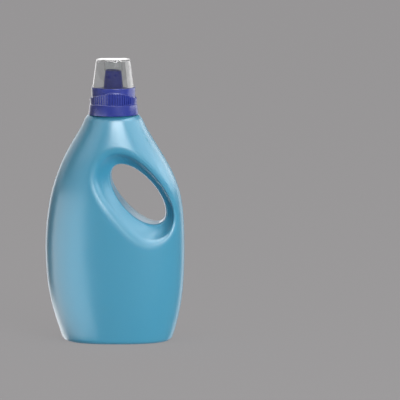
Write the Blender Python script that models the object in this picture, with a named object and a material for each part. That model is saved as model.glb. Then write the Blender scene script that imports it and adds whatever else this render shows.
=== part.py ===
"""Laundry detergent bottle with a through handle, a screw collar, a pouring spout and a clear dosing cap.

Every length is in metres. +Z is up, the handle is at +X, and the front of the bottle faces -Y. The origin is on
the base plane, under the middle of the belly.
"""

import math

import bmesh
import bpy
import numpy as np
from mathutils import Vector

# Clearances
FIT_GAP = 0.0003
SKIRT_GAP = 0.0005

# Bottle: overall form
SHOULDER_TOP = 0.2335
BELLY_HALF_WIDTH = 0.0715
BELLY_HALF_DEPTH = 0.0455
NECK_OFFSET = -0.0011
BOTTLE_WALL = 0.0013
SHOULDER_ROUNDING = 0.0025

# Horizontal sections of the body from base to shoulder, each a rounded oval. The shares are: height as a share of
# SHOULDER_TOP, half width and sideways shift as shares of BELLY_HALF_WIDTH, half depth as a share of
# BELLY_HALF_DEPTH, and the oval's power (2 is an ellipse, more is squarer).
BODY_SHARES = (
    (0.000, 0.780, 0.040, 0.900, 2.40),
    (0.086, 0.868, 0.033, 0.950, 2.38),
    (0.193, 0.949, 0.018, 0.984, 2.36),
    (0.300, 0.988, 0.008, 0.998, 2.34),
    (0.430, 1.000, 0.003, 1.000, 2.32),
    (0.557, 0.977, 0.011, 0.980, 2.30),
    (0.664, 0.917, 0.014, 0.932, 2.27),
    (0.749, 0.820, 0.006, 0.862, 2.23),
    (0.835, 0.681, -0.011, 0.770, 2.16),
    (0.908, 0.539, -0.015, 0.676, 2.08),
    (0.959, 0.446, -0.015, 0.612, 2.03),
    (1.000, 0.389, -0.015, 0.570, 2.00),
)

# Bottle: base
HEEL_RADIUS = 0.0045
FOOT_WIDTH = 0.0040
PUSH_UP_HEIGHT = 0.0035
PUSH_UP_RUN = 0.0060
BASE_CENTRE_SHARE = 0.5

# Bottle: neck
NECK_RADIUS = 0.0182
NECK_HEIGHT = 0.0233
NECK_FILLET = 0.0012
LEDGE_RISE = 0.0004

# Bottle: hand hole, a slanted oval through the body. A rounded bead lines it, and from the bead's crease a funnel
# opens to the surface. The funnel's slopes are sideways run for each metre of depth, at the oval's ends and sides.
HOLE_CENTRE_X = 0.0243
HOLE_CENTRE_Z = 0.1534
HOLE_HALF_LENGTH = 0.0370
HOLE_HALF_BREADTH = 0.0170
HOLE_TILT = math.radians(-48.5)
BEAD_HALF_DEPTH = 0.0120
BEAD_HEIGHT = 0.0033
BEAD_TURN = math.radians(76.0)
FUNNEL_END_SLOPE = 0.70
FUNNEL_SIDE_SLOPE = 0.45
FUNNEL_ROUNDING = 0.0040
FUNNEL_HOLLOW = 0.0008

# Bottle: mesh layout. The patch is the stretch of the body that the funnel is set into, counted in columns from
# the handle side towards the front, and between two heights.
COLUMNS = 52
PATCH_COLUMNS = (2, 18)
PATCH_BOTTOM = 0.0940
PATCH_TOP = 0.2080
ROWS_BELOW = 7
ROWS_BESIDE = 11
ROWS_ABOVE = 3
HEEL_STEPS = 3
SHOULDER_STEPS = 2
PATCH_RINGS = 1
ROUNDING_RINGS = 3
BEAD_STEPS = 2

# Collar. The band's shares are heights as shares of the collar's own height.
COLLAR_HEAD = 0.0052
COLLAR_TOP_RADIUS = 0.0226
COLLAR_WAIST_RADIUS = 0.0224
COLLAR_OPENING_RADIUS = 0.0130
COLLAR_LIP_THICKNESS = 0.0016
COLLAR_EDGE = 0.0004
CLAMP_RING_RADIUS = 0.0165
SKIRT_RADIUS = 0.0257
SKIRT_TOP_RADIUS = 0.0244
SKIRT_WALL = 0.0014
SLEEVE_WALL = 0.0014
SLEEVE_LIFT = 0.0050
THREAD_HEIGHT = 0.0012
THREAD_CLEARANCE = 0.0004
BAND_RADIUS = 0.0244
BAND_FOOT_RADIUS = 0.0239
BAND_BOTTOM_SHARE = 0.386
BAND_SIDE_TOP_SHARE = 0.561
BAND_RISE_SHARE = 0.286
BAND_ARCH_POWER = 1.5
BAND_FILLET = 0.0005
COLLAR_COLUMNS = 56

# Grip ribs on the collar's two pads
RIBS_ON_A_PAD = 17
RIB_PITCH_ANGLE = math.radians(6.0)
RIB_WIDTH = 0.0012
RIB_CREST_WIDTH = 0.0007
RIB_HEIGHT = 0.0006
RIB_ROOT = 0.0008
RIB_MARGIN = 0.0006

# Spout
FLANGE_THICKNESS = 0.0014
SPOUT_WALL = 0.0012
NOZZLE_HEIGHT = 0.0190
NOZZLE_TOP_RADIUS = 0.0081
NOZZLE_BASE_RADIUS = 0.0102
NOZZLE_ROOT_RADIUS = 0.0104
SPOUT_DEPTH = 0.0108
TROUGH_FLOOR = 0.0015
TROUGH_FILLET = 0.0008
LIP_DIP = 0.0013
LIP_DIP_ANGLE = math.radians(-55.0)
LIP_NOTCH = 0.0008
LIP_NOTCH_ANGLE = math.radians(-38.0)
LIP_NOTCH_SPREAD = math.radians(13.0)
DRAIN_LENGTH = 0.0070
DRAIN_WIDTH = 0.0026
SPOUT_COLUMNS = 40

# Dosing cap
CAP_HEADROOM = 0.0098
CAP_TOP_RADIUS = 0.0176
CAP_MOUTH_RADIUS = 0.0216
CAP_WALL = 0.0012
CAP_ROUNDING = 0.0020
CAP_ROUNDING_STEPS = 3
CAP_SEAT_DEPTH = 0.0020
CAP_RING_OVERLAP = 0.0017
CAP_RING_WALL = 0.0007
CAP_COLUMNS = 44

CUTTER_OVERRUN = 0.0020

# Heights that follow from the sizes above
NECK_TOP = SHOULDER_TOP + NECK_HEIGHT
COLLAR_TOP = NECK_TOP + COLLAR_HEAD
SPOUT_TOP = COLLAR_TOP + NOZZLE_HEIGHT
CAP_TOP = SPOUT_TOP + CAP_HEADROOM
SKIRT_BOTTOM = SHOULDER_TOP + SKIRT_GAP
COLLAR_HEIGHT = COLLAR_TOP - SKIRT_BOTTOM
BAND_BOTTOM = SKIRT_BOTTOM + COLLAR_HEIGHT * BAND_BOTTOM_SHARE
BAND_SIDE_TOP = SKIRT_BOTTOM + COLLAR_HEIGHT * BAND_SIDE_TOP_SHARE
BAND_RISE = COLLAR_HEIGHT * BAND_RISE_SHARE

# Accuracy and shading
HALVINGS = 40
SHARP_ANGLE = math.radians(35.0)
ELLIPSE_POWER = 2.0


class Spline:
    """A smooth curve through a few values, with continuous curvature and relaxed ends."""

    def __init__(self, places, values):
        self.places = np.array(places, float)
        self.values = np.array(values, float)
        steps = np.diff(self.places)
        slopes = np.diff(self.values) / steps
        count = len(places)
        matrix = np.zeros((count, count))
        right = np.zeros(count)
        matrix[0, 0] = matrix[-1, -1] = 1.0
        for i in range(1, count - 1):
            matrix[i, i - 1] = steps[i - 1]
            matrix[i, i] = 2.0 * (steps[i - 1] + steps[i])
            matrix[i, i + 1] = steps[i]
            right[i] = 6.0 * (slopes[i] - slopes[i - 1])
        self.bends = np.linalg.solve(matrix, right)

    def __call__(self, place):
        i = int(np.clip(np.searchsorted(self.places, place) - 1, 0, len(self.places) - 2))
        step = self.places[i + 1] - self.places[i]
        ahead = (self.places[i + 1] - place) / step
        past = (place - self.places[i]) / step
        bend = (ahead**3 - ahead) * self.bends[i] + (past**3 - past) * self.bends[i + 1]
        return float(ahead * self.values[i] + past * self.values[i + 1] + bend * step**2 / 6.0)


COLUMNS_OF_SHARES = list(zip(*BODY_SHARES))
HALF_WIDTH_CURVE = Spline(COLUMNS_OF_SHARES[0], COLUMNS_OF_SHARES[1])
SHIFT_CURVE = Spline(COLUMNS_OF_SHARES[0], COLUMNS_OF_SHARES[2])
HALF_DEPTH_CURVE = Spline(COLUMNS_OF_SHARES[0], COLUMNS_OF_SHARES[3])
POWER_CURVE = Spline(COLUMNS_OF_SHARES[0], COLUMNS_OF_SHARES[4])


def clear_scene():
    """Start from an empty scene."""
    for item in list(bpy.data.objects):
        bpy.data.objects.remove(item, do_unlink=True)


def plastic(name, colour, roughness, clear_share=0.0):
    """A plastic material. clear_share is how much light passes through it."""
    material = bpy.data.materials.new(name)
    material.use_nodes = True
    shader = material.node_tree.nodes["Principled BSDF"]
    shader.inputs["Base Color"].default_value = (*colour, 1.0)
    shader.inputs["Metallic"].default_value = 0.0
    shader.inputs["Roughness"].default_value = roughness
    shader.inputs["Transmission Weight"].default_value = clear_share
    return material


def finish_object(name, mesh_builder, material):
    """Turn a bmesh into a smooth-shaded object with its material."""
    bmesh.ops.recalc_face_normals(mesh_builder, faces=mesh_builder.faces)
    mesh = bpy.data.meshes.new(name)
    mesh_builder.to_mesh(mesh)
    mesh_builder.free()
    mesh.shade_smooth()
    mesh.set_sharp_from_angle(angle=SHARP_ANGLE)
    mesh.materials.append(material)
    item = bpy.data.objects.new(name, mesh)
    bpy.context.scene.collection.objects.link(item)
    return item


def body_section(height):
    """Centre, half width, half depth and power of the body's oval section at a height."""
    share = height / SHOULDER_TOP
    return (
        SHIFT_CURVE(share) * BELLY_HALF_WIDTH,
        HALF_WIDTH_CURVE(share) * BELLY_HALF_WIDTH,
        HALF_DEPTH_CURVE(share) * BELLY_HALF_DEPTH,
        POWER_CURVE(share),
    )


def oval_point(section, angle, height, inset=0.0):
    """A point on a section. The angle runs from the handle side (+X) over the front (-Y)."""
    centre, half_width, half_depth, power = section
    across = math.cos(angle)
    forward = math.sin(angle)
    x = centre + math.copysign(abs(across) ** (2.0 / power), across) * (half_width - inset)
    y = -math.copysign(abs(forward) ** (2.0 / power), forward) * (half_depth - inset)
    return Vector((x, y, height))


def body_point(angle, height):
    """A point on the body's outer surface."""
    return oval_point(body_section(height), angle, height)


def body_angle(x, height):
    """The angle at which the front of the body passes a sideways place."""
    centre, half_width, _, power = body_section(height)
    share = max(-1.0, min(1.0, (x - centre) / half_width))
    return math.acos(math.copysign(abs(share) ** (power / 2.0), share))


def body_depth(x, height):
    """How far the front of the body stands from the middle plane."""
    return -body_point(body_angle(x, height), height).y


def hole_point(angle, outward):
    """A point (x, z) beside the hand hole's oval, moved out from it along its normal."""
    along = math.cos(angle) * HOLE_HALF_LENGTH
    beside = math.sin(angle) * HOLE_HALF_BREADTH
    normal = Vector((math.cos(angle) * HOLE_HALF_BREADTH, math.sin(angle) * HOLE_HALF_LENGTH)).normalized()
    along += normal.x * outward
    beside += normal.y * outward
    turn_x = math.cos(HOLE_TILT)
    turn_z = math.sin(HOLE_TILT)
    return (
        HOLE_CENTRE_X + along * turn_x - beside * turn_z,
        HOLE_CENTRE_Z + along * turn_z + beside * turn_x,
    )


def hole_angle(x, z):
    """The angle round the hole that faces a point of the patch's border."""
    turn_x = math.cos(HOLE_TILT)
    turn_z = math.sin(HOLE_TILT)
    along = (x - HOLE_CENTRE_X) * turn_x + (z - HOLE_CENTRE_Z) * turn_z
    beside = -(x - HOLE_CENTRE_X) * turn_z + (z - HOLE_CENTRE_Z) * turn_x
    reach = BEAD_HEIGHT + BEAD_HALF_DEPTH
    return math.atan2(beside / (HOLE_HALF_BREADTH + reach), along / (HOLE_HALF_LENGTH + reach))


def funnel_out(angle, depth):
    """How far the funnel's slope stands outside the hole's oval at a depth from the middle plane."""
    slope = FUNNEL_SIDE_SLOPE + (FUNNEL_END_SLOPE - FUNNEL_SIDE_SLOPE) * math.cos(angle) ** 2
    return BEAD_HEIGHT + slope * (depth - BEAD_HALF_DEPTH)


def funnel_edge_depth(angle):
    """Depth at which the funnel's slope meets the body's surface, found by halving."""
    low = BEAD_HALF_DEPTH
    high = BELLY_HALF_DEPTH
    for _ in range(HALVINGS):
        middle = (low + high) / 2.0
        x, z = hole_point(angle, funnel_out(angle, middle))
        if body_depth(x, z) > middle:
            low = middle
        else:
            high = middle
    return low


def funnel_column(border_angle, border_height):
    """Points from the patch's border over the funnel's rounded edge and down to the bead's middle line.

    The border point itself is left out. Depths count towards the front as negative y.
    """
    start = body_point(border_angle, border_height)
    angle = hole_angle(start.x, start.z)
    edge_depth = funnel_edge_depth(angle)
    edge_out = funnel_out(angle, edge_depth)
    outer_x, outer_z = hole_point(angle, edge_out + FUNNEL_ROUNDING)
    outer_angle = body_angle(outer_x, outer_z)
    points = []
    for ring in range(1, PATCH_RINGS + 1):
        share = ring / (PATCH_RINGS + 1)
        points.append(
            body_point(
                border_angle + (outer_angle - border_angle) * share,
                border_height + (outer_z - border_height) * share,
            )
        )
    outer = body_point(outer_angle, outer_z)
    edge_x, edge_z = hole_point(angle, edge_out)
    edge = Vector((edge_x, -edge_depth, edge_z))
    slope_depth = max(edge_depth - FUNNEL_ROUNDING, BEAD_HALF_DEPTH + FUNNEL_ROUNDING)
    inner_x, inner_z = hole_point(angle, funnel_out(angle, slope_depth))
    inner = Vector((inner_x, -slope_depth, inner_z))
    for ring in range(ROUNDING_RINGS + 1):
        share = ring / ROUNDING_RINGS
        points.append(
            outer * (1.0 - share) ** 2 + edge * (2.0 * share * (1.0 - share)) + inner * share**2
        )
    middle_depth = (slope_depth + BEAD_HALF_DEPTH) / 2.0
    middle_x, middle_z = hole_point(angle, funnel_out(angle, middle_depth) + FUNNEL_HOLLOW)
    points.append(Vector((middle_x, -middle_depth, middle_z)))
    for step in range(BEAD_STEPS, -1, -1):
        turn = BEAD_TURN * step / BEAD_STEPS
        rise = BEAD_HEIGHT * (1.0 - math.cos(turn)) / (1.0 - math.cos(BEAD_TURN))
        depth = BEAD_HALF_DEPTH * math.sin(turn) / math.sin(BEAD_TURN)
        x, z = hole_point(angle, rise)
        points.append(Vector((x, -depth, z)))
    return points


def span(low, high, steps):
    """Evenly spaced values after low, up to and with high."""
    return [low + (high - low) * step / steps for step in range(1, steps + 1)]


def body_rings():
    """The bottle's outer rings from the base's middle to the neck's rim, and the rows where the patch lies."""
    angles = [math.tau * column / COLUMNS for column in range(COLUMNS)]
    rings = []
    foot = body_section(0.0)
    foot_inset = HEEL_RADIUS + FOOT_WIDTH
    centre_inset = foot[2] * BASE_CENTRE_SHARE
    rings.append([oval_point(foot, angle, PUSH_UP_HEIGHT, centre_inset) for angle in angles])
    rings.append([oval_point(foot, angle, PUSH_UP_HEIGHT, foot_inset + PUSH_UP_RUN) for angle in angles])
    rings.append([oval_point(foot, angle, 0.0, foot_inset) for angle in angles])
    rings.append([oval_point(foot, angle, 0.0, HEEL_RADIUS) for angle in angles])
    for turn in span(0.0, math.pi / 2.0, HEEL_STEPS):
        height = HEEL_RADIUS * (1.0 - math.cos(turn))
        section = body_section(height)
        inset = HEEL_RADIUS * (1.0 - math.sin(turn))
        rings.append([oval_point(section, angle, height, inset) for angle in angles])
    heights = span(HEEL_RADIUS, PATCH_BOTTOM, ROWS_BELOW)
    first_row = len(rings) + ROWS_BELOW - 1
    heights += span(PATCH_BOTTOM, PATCH_TOP, ROWS_BESIDE)
    shoulder_edge = SHOULDER_TOP - SHOULDER_ROUNDING
    heights += span(PATCH_TOP, shoulder_edge, ROWS_ABOVE)
    for height in heights:
        rings.append([body_point(angle, height) for angle in angles])
    for turn in span(0.0, math.pi / 2.0, SHOULDER_STEPS):
        height = shoulder_edge + SHOULDER_ROUNDING * math.sin(turn)
        inset = SHOULDER_ROUNDING * (1.0 - math.cos(turn))
        section = body_section(height)
        rings.append([oval_point(section, angle, height, inset) for angle in angles])
    neck_rings = (
        (NECK_RADIUS + NECK_FILLET, SHOULDER_TOP + LEDGE_RISE),
        (NECK_RADIUS, SHOULDER_TOP + LEDGE_RISE + NECK_FILLET),
        (NECK_RADIUS, NECK_TOP),
    )
    for radius, height in neck_rings:
        neck = (NECK_OFFSET, radius, radius, ELLIPSE_POWER)
        rings.append([oval_point(neck, angle, height) for angle in angles])
    return angles, rings, heights, first_row


def patch_border(first_row, side):
    """Row and column of each vertex round a patch, in order, for the front (1) or the back (-1)."""
    last_row = first_row + ROWS_BESIDE
    left, right = PATCH_COLUMNS
    border = [(first_row, column) for column in range(left, right)]
    border += [(row, right) for row in range(first_row, last_row)]
    border += [(last_row, column) for column in range(right, left, -1)]
    border += [(row, left) for row in range(last_row, first_row, -1)]
    return [(row, side * column % COLUMNS) for row, column in border]


def make_bottle(material):
    """The blow-moulded shell: a loft of ovals with the hand hole's funnel set into its front and back."""
    angles, rings, heights, first_row = body_rings()
    last_row = first_row + ROWS_BESIDE
    left, right = PATCH_COLUMNS
    builder = bmesh.new()

    def in_patch(row, column, reach):
        """True where a vertex (reach 1) or a quad (reach 0) lies inside a patch."""
        if not first_row + reach <= row < last_row:
            return False
        mirrored = (COLUMNS - column - 1 + reach) % COLUMNS
        return left + reach <= column < right or left + reach <= mirrored < right

    grid = {}
    for row, ring in enumerate(rings):
        for column, point in enumerate(ring):
            if not in_patch(row, column, 1):
                grid[row, column] = builder.verts.new(point)
    for row in range(len(rings) - 1):
        for column in range(COLUMNS):
            if in_patch(row, column, 0):
                continue
            beside = (column + 1) % COLUMNS
            builder.faces.new(
                (grid[row, column], grid[row, beside], grid[row + 1, beside], grid[row + 1, column])
            )
    builder.faces.new([grid[0, column] for column in range(COLUMNS)])

    border = patch_border(first_row, 1)
    row_heights = dict(enumerate(heights, first_row - ROWS_BELOW + 1))
    columns = [funnel_column(angles[column], row_heights[row]) for row, column in border]
    middle_line = [builder.verts.new(points[-1]) for points in columns]
    for side in (1, -1):
        outer = [grid[place] for place in patch_border(first_row, side)]
        for ring in range(len(columns[0])):
            if ring == len(columns[0]) - 1:
                inner = middle_line
            else:
                inner = [
                    builder.verts.new((points[ring].x, side * points[ring].y, points[ring].z))
                    for points in columns
                ]
            for i in range(len(outer)):
                after = (i + 1) % len(outer)
                builder.faces.new((outer[i], outer[after], inner[after], inner[i]))
            outer = inner
    bottle = finish_object("bottle", builder, material)
    wall = bottle.modifiers.new("wall", "SOLIDIFY")
    wall.thickness = BOTTLE_WALL
    wall.offset = -1.0
    wall.use_even_offset = True
    wall.use_rim = True
    return bottle


def turned(name, profile, columns, material):
    """A turned body about its own axis. profile(angle) gives its (radius, height) points, as a closed loop.

    A point on the axis is one vertex that all columns share. The angle runs from +X towards +Y.
    """
    builder = bmesh.new()
    outline = profile(0.0)
    poles = {row: builder.verts.new((0.0, 0.0, z)) for row, (r, z) in enumerate(outline) if r == 0.0}
    grid = []
    for column in range(columns):
        angle = math.tau * column / columns
        line = []
        for row, (radius, height) in enumerate(profile(angle)):
            place = (radius * math.cos(angle), radius * math.sin(angle), height)
            line.append(poles[row] if row in poles else builder.verts.new(place))
        grid.append(line)
    for column in range(columns):
        here = grid[column]
        beside = grid[(column + 1) % columns]
        for row in range(len(outline)):
            below = (row + 1) % len(outline)
            corners = [here[row], beside[row], beside[below], here[below]]
            corners = [corner for i, corner in enumerate(corners) if corner not in corners[:i]]
            if len(corners) > 2:
                builder.faces.new(corners)
    return finish_object(name, builder, material)


def cut(item, cutter):
    """Take the cutter away from the item."""
    cutter.hide_render = True
    cutter.display_type = "WIRE"
    modifier = item.modifiers.new("cut", "BOOLEAN")
    modifier.operation = "DIFFERENCE"
    modifier.object = cutter


def neck_bore():
    """The radius inside the bottle's neck."""
    return NECK_RADIUS - BOTTLE_WALL


def flange_top():
    """The height of the spout flange's upper face, which the collar clamps."""
    return NECK_TOP + FIT_GAP + FLANGE_THICKNESS


def groove():
    """Inner radius, outer radius and floor height of the groove that holds the cap's mouth."""
    return (
        CAP_MOUTH_RADIUS - CAP_WALL - FIT_GAP,
        CAP_MOUTH_RADIUS + FIT_GAP,
        COLLAR_TOP - CAP_SEAT_DEPTH,
    )


def band_top(angle):
    """The upper edge of the collar's band: an arch at the front and the back, low at the sides."""
    return BAND_SIDE_TOP + BAND_RISE * abs(math.sin(angle)) ** BAND_ARCH_POWER


def collar_profile(angle):
    """The collar's section: top wall with the cap's groove, band, skirt and threaded sleeve."""
    groove_inner, groove_outer, groove_floor = groove()
    sleeve_radius = NECK_RADIUS + THREAD_HEIGHT + THREAD_CLEARANCE
    sleeve_outer = sleeve_radius + SLEEVE_WALL
    sleeve_bottom = SHOULDER_TOP + SLEEVE_LIFT
    pocket_roof = BAND_SIDE_TOP - SKIRT_WALL
    clamp_face = flange_top() + FIT_GAP
    arch = band_top(angle)
    return [
        (COLLAR_OPENING_RADIUS, COLLAR_TOP - COLLAR_EDGE),
        (COLLAR_OPENING_RADIUS + COLLAR_EDGE, COLLAR_TOP),
        (groove_inner, COLLAR_TOP),
        (groove_inner, groove_floor),
        (groove_outer, groove_floor),
        (groove_outer, COLLAR_TOP),
        (COLLAR_TOP_RADIUS - COLLAR_EDGE, COLLAR_TOP),
        (COLLAR_TOP_RADIUS, COLLAR_TOP - COLLAR_EDGE),
        (COLLAR_WAIST_RADIUS, arch + BAND_FILLET),
        (BAND_RADIUS - BAND_FILLET, arch),
        (BAND_RADIUS, arch - BAND_FILLET),
        (BAND_FOOT_RADIUS, BAND_BOTTOM),
        (SKIRT_TOP_RADIUS, BAND_BOTTOM - BAND_FILLET),
        (SKIRT_RADIUS, SKIRT_BOTTOM + COLLAR_EDGE),
        (SKIRT_RADIUS - COLLAR_EDGE, SKIRT_BOTTOM),
        (SKIRT_RADIUS - SKIRT_WALL, SKIRT_BOTTOM),
        (SKIRT_TOP_RADIUS - SKIRT_WALL, BAND_BOTTOM),
        (SKIRT_TOP_RADIUS - SKIRT_WALL, pocket_roof),
        (sleeve_outer, pocket_roof),
        (sleeve_outer, sleeve_bottom),
        (sleeve_radius, sleeve_bottom),
        (sleeve_radius, clamp_face),
        (CLAMP_RING_RADIUS, clamp_face),
        (CLAMP_RING_RADIUS, COLLAR_TOP - COLLAR_LIP_THICKNESS),
        (COLLAR_OPENING_RADIUS, COLLAR_TOP - COLLAR_LIP_THICKNESS),
    ]


def add_rib(builder, angle):
    """One grip rib, a bar with a narrower crest, rooted in the band."""
    root = BAND_FOOT_RADIUS - RIB_ROOT
    crest = BAND_RADIUS + RIB_HEIGHT
    low = BAND_BOTTOM + RIB_MARGIN
    high = band_top(angle) - RIB_MARGIN
    outward = Vector((math.cos(angle), math.sin(angle), 0.0))
    aside = Vector((-math.sin(angle), math.cos(angle), 0.0))
    corners = []
    for height in (low, high):
        for radius, width in ((root, RIB_WIDTH), (crest, RIB_CREST_WIDTH)):
            for hand in (-1.0, 1.0):
                place = outward * radius + aside * (hand * width / 2.0)
                corners.append(builder.verts.new((place.x, place.y, height)))
    for face in ((0, 1, 3, 2), (4, 6, 7, 5), (0, 4, 5, 1), (2, 3, 7, 6), (0, 2, 6, 4), (1, 5, 7, 3)):
        builder.faces.new([corners[i] for i in face])


def make_collar(material):
    """The screw collar, with its grip ribs joined on."""
    collar = turned("collar", collar_profile, COLLAR_COLUMNS, material)
    builder = bmesh.new()
    for pad in (-math.pi / 2.0, math.pi / 2.0):
        for rib in range(RIBS_ON_A_PAD):
            add_rib(builder, pad + (rib - (RIBS_ON_A_PAD - 1) / 2.0) * RIB_PITCH_ANGLE)
    ribs = finish_object("rib_tools", builder, material)
    ribs.hide_render = True
    ribs.display_type = "WIRE"
    join = collar.modifiers.new("ribs", "BOOLEAN")
    join.operation = "UNION"
    join.object = ribs
    collar.location.x = NECK_OFFSET
    ribs.location.x = NECK_OFFSET
    return collar


def lip_height(angle):
    """The height of the nozzle's wavy lip."""
    wave = LIP_DIP * (1.0 + math.cos(angle - LIP_DIP_ANGLE)) / 2.0
    away = (angle - LIP_NOTCH_ANGLE + math.pi) % math.tau - math.pi
    notch = LIP_NOTCH * math.exp(-((away / LIP_NOTCH_SPREAD) ** 2))
    return SPOUT_TOP - wave - notch


def spout_profile(angle):
    """The spout's section: nozzle, drip trough, plug wall and flange."""
    plug_radius = neck_bore() - FIT_GAP
    trough_radius = plug_radius - SPOUT_WALL
    flange_face = flange_top()
    flange_under = flange_face - FLANGE_THICKNESS
    bottom = flange_under - SPOUT_DEPTH
    floor = bottom + TROUGH_FLOOR
    lip = lip_height(angle)
    return [
        (NOZZLE_TOP_RADIUS, lip),
        (NOZZLE_BASE_RADIUS, COLLAR_TOP),
        (NOZZLE_ROOT_RADIUS, floor + TROUGH_FILLET),
        (NOZZLE_ROOT_RADIUS + TROUGH_FILLET, floor),
        (trough_radius - TROUGH_FILLET, floor),
        (trough_radius, floor + TROUGH_FILLET),
        (trough_radius, flange_face),
        (NECK_RADIUS, flange_face),
        (NECK_RADIUS, flange_under),
        (plug_radius, flange_under),
        (plug_radius, bottom + TROUGH_FILLET),
        (plug_radius - TROUGH_FILLET, bottom),
        (NOZZLE_ROOT_RADIUS - SPOUT_WALL, bottom),
        (NOZZLE_BASE_RADIUS - SPOUT_WALL, COLLAR_TOP),
        (NOZZLE_TOP_RADIUS - SPOUT_WALL, lip),
    ]


def make_spout(material):
    """The pouring spout, with a drain slot through its trough at the back."""
    spout = turned("spout", spout_profile, SPOUT_COLUMNS, material)
    spout.location.x = NECK_OFFSET
    trough_middle = (NOZZLE_ROOT_RADIUS + neck_bore() - FIT_GAP - SPOUT_WALL) / 2.0
    floor_depth = TROUGH_FLOOR + 2.0 * CUTTER_OVERRUN
    builder = bmesh.new()
    bmesh.ops.create_cube(builder, size=1.0)
    bmesh.ops.scale(builder, vec=(DRAIN_LENGTH, DRAIN_WIDTH, floor_depth), verts=builder.verts)
    cutter = finish_object("drain_cutter", builder, material)
    bottom = flange_top() - FLANGE_THICKNESS - SPOUT_DEPTH
    cutter.location = (NECK_OFFSET, trough_middle, bottom + TROUGH_FLOOR / 2.0)
    cut(spout, cutter)
    return spout


def cap_radius(height):
    """The cap's outer radius on its straight tapered side."""
    mouth = groove()[2] + FIT_GAP
    share = (height - mouth) / (CAP_TOP - mouth)
    return CAP_MOUTH_RADIUS + (CAP_TOP_RADIUS - CAP_MOUTH_RADIUS) * share


def cap_profile(_angle):
    """The cap's section from the middle of its top, round its mouth, to the ring inside it."""
    mouth = groove()[2] + FIT_GAP
    under_top = CAP_TOP - CAP_WALL
    side_top = CAP_TOP - CAP_ROUNDING
    corner = cap_radius(side_top)
    inner_rounding = CAP_ROUNDING - CAP_WALL
    ring_bottom = SPOUT_TOP - CAP_RING_OVERLAP
    slope = (NOZZLE_BASE_RADIUS - NOZZLE_TOP_RADIUS) / (SPOUT_TOP - COLLAR_TOP)
    ring_inner = NOZZLE_TOP_RADIUS + slope * CAP_RING_OVERLAP + FIT_GAP
    points = [(0.0, CAP_TOP)]
    for turn in [0.0] + span(0.0, math.pi / 2.0, CAP_ROUNDING_STEPS):
        points.append(
            (
                corner - CAP_ROUNDING * (1.0 - math.sin(turn)),
                side_top + CAP_ROUNDING * math.cos(turn),
            )
        )
    points += [
        (CAP_MOUTH_RADIUS, mouth),
        (CAP_MOUTH_RADIUS - CAP_WALL, mouth),
        (corner - CAP_WALL, side_top),
        (corner - CAP_WALL - inner_rounding, under_top),
        (ring_inner + CAP_RING_WALL, under_top),
        (ring_inner + CAP_RING_WALL, ring_bottom),
        (ring_inner, ring_bottom),
        (ring_inner, under_top),
        (0.0, under_top),
    ]
    return points


def make_cap(material):
    """The clear dosing cap."""
    cap = turned("dosing_cap", cap_profile, CAP_COLUMNS, material)
    cap.location.x = NECK_OFFSET
    return cap


def main():
    """Build the four pieces."""
    clear_scene()
    make_bottle(plastic("blow_moulded_hdpe", (0.09, 0.31, 0.48), 0.32))
    violet = plastic("moulded_pp", (0.055, 0.065, 0.40), 0.30)
    make_collar(violet)
    make_spout(violet)
    make_cap(plastic("clear_pp", (0.93, 0.95, 0.96), 0.06, clear_share=1.0))


main()
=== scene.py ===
"""Studio scene of a blue laundry detergent bottle with a violet pouring closure and a clear dosing cap.

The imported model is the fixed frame. Every length is in metres. +Z is up, the handle is at +X and the
front of the bottle faces -Y. Each sub-assembly is a class that builds its own mesh and dresses it.
"""

import logging
from collections.abc import Callable, Iterable, Sequence
from dataclasses import dataclass, replace
from enum import Enum
from math import acos, atan2, copysign, cos, exp, hypot, pi, radians, sin, tau

import bmesh
import bpy
import numpy as np
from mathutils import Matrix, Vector


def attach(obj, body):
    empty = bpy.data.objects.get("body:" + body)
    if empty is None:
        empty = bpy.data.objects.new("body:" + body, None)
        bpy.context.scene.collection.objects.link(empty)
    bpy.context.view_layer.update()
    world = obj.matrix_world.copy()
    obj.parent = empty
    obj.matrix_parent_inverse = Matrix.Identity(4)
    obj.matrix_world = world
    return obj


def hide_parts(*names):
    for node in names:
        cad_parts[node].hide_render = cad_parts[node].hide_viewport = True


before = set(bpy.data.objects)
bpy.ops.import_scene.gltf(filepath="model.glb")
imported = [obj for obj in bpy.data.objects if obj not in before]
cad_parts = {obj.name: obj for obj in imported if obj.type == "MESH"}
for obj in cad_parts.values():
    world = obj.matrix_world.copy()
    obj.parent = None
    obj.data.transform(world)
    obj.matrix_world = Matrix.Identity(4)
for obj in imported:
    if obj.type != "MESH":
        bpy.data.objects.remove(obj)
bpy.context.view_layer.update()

LOG = logging.getLogger("detergent_bottle")

MM = 0.001
Pair = tuple[float, float]
Triple = tuple[float, float, float]
Outline = Sequence[Pair]
Tree = bpy.types.NodeTree
Node = bpy.types.Node
Socket = bpy.types.NodeSocket
Material = bpy.types.Material
Builder = bmesh.types.BMesh
Item = bpy.types.Object

# Places that several pieces share, and the angle in degrees past which their edges usually stay sharp.
NECK_X = -1.1 * MM
NECK_RADIUS = 18.2 * MM
SHOULDER_TOP = 233.5 * MM
NECK_TOP = 256.8 * MM
COLLAR_TOP = 262.0 * MM
THREAD_LEAD = 4.0 * MM
THREAD_START = radians(20.0)
THREAD_STEPS = 120
SHARP = 40.0

# The camera's film width, and the photograph's width in pixels.
SENSOR = 36.0
PHOTO_WIDTH = 400.0


class Body(Enum):
    """The bodies of the frame that pieces ride on."""

    BOTTLE = "bottle"
    SPOUT = "spout"
    COLLAR = "collar"
    CAP = "dosing_cap"


class Slot(Enum):
    """The record's material slots."""

    BOTTLE = "bottle"
    CLOSURE = "closure"
    CLEAR = "clear_cap"


class Reach(Enum):
    """What a lamp lights: everything, only the gloss that mirrors it, or only what scatters its light."""

    ALL = "all"
    GLOSS = "gloss"
    DIFFUSE = "diffuse"


# Colour, node and object helpers


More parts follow.
